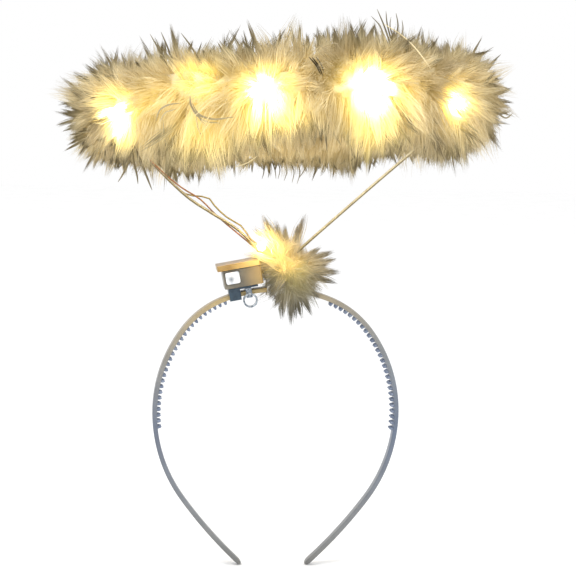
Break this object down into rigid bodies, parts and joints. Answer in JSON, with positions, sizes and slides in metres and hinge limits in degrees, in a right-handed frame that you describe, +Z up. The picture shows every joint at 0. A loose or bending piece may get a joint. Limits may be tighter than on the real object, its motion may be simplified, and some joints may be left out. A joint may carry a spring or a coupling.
{
  "type": "light-up halo headband",
  "caption": "Costume halo: a lit marabou ring on two wire stems over a toothed headband, with a feather puff and a battery case at the crown.",
  "frame": {"origin": "inner face of the band at its crown, where it sits on the head", "axes": "+Z up as worn, +X to the right as seen from the front, -Y towards the viewer in front"},
  "size_m": [0.2226, 0.2262, 0.2733],
  "materials": {
    "headband": "moulded, satin",
    "stem_left": "coated wire",
    "stem_right": "coated wire",
    "stem_binding": "wound tape",
    "led_lead_gold": "insulated lead",
    "led_lead_red": "insulated lead",
    "feather_puff": "marabou down",
    "halo_boa": "marabou down",
    "halo_hoop": "coated wire",
    "battery_case": "moulded, smoky",
    "case_cover": "moulded, smoky",
    "power_button": "moulded, white",
    "case_wrap": "dark, satin",
    "cable_tie": "clear nylon",
    "led_bulb_01": "lit resin drop",
    "led_bulb_02": "lit resin drop",
    "led_bulb_03": "lit resin drop",
    "led_bulb_04": "lit resin drop",
    "led_bulb_05": "lit resin drop",
    "led_bulb_06": "lit resin drop",
    "led_bulb_07": "lit resin drop",
    "led_bulb_08": "lit resin drop",
    "led_bulb_09": "lit resin drop",
    "led_bulb_10": "lit resin drop",
    "led_bulb_11": "lit resin drop",
    "led_bulb_12": "lit resin drop",
    "led_bulb_13": "lit resin drop",
    "led_bulb_puff": "lit resin drop"
  },
  "bodies": {
    "crown": {"headband": "headband", "stem_left": "stem_left", "stem_right": "stem_right", "stem_binding": "stem_binding", "led_lead_gold": "led_lead_gold", "led_lead_red": "led_lead_red", "feather_puff": "feather_puff", "halo_boa": "halo_boa", "halo_hoop": "halo_hoop", "battery_case": "battery_case", "case_cover": "case_cover", "case_wrap": "case_wrap", "cable_tie": "cable_tie", "led_bulb_01": "led_bulb_01", "led_bulb_02": "led_bulb_02", "led_bulb_03": "led_bulb_03", "led_bulb_04": "led_bulb_04", "led_bulb_05": "led_bulb_05", "led_bulb_06": "led_bulb_06", "led_bulb_07": "led_bulb_07", "led_bulb_08": "led_bulb_08", "led_bulb_09": "led_bulb_09", "led_bulb_10": "led_bulb_10", "led_bulb_11": "led_bulb_11", "led_bulb_12": "led_bulb_12", "led_bulb_13": "led_bulb_13", "led_bulb_puff": "led_bulb_puff"},
    "button": {"power_button": "power_button"}
  },
  "joints": [
    {"name": "button_press", "type": "slide", "parent": "crown", "child": "button", "axis": [0, 1, 0], "range_m": [0, 0.0008], "stiffness_N_per_m": 1500}
  ]
}
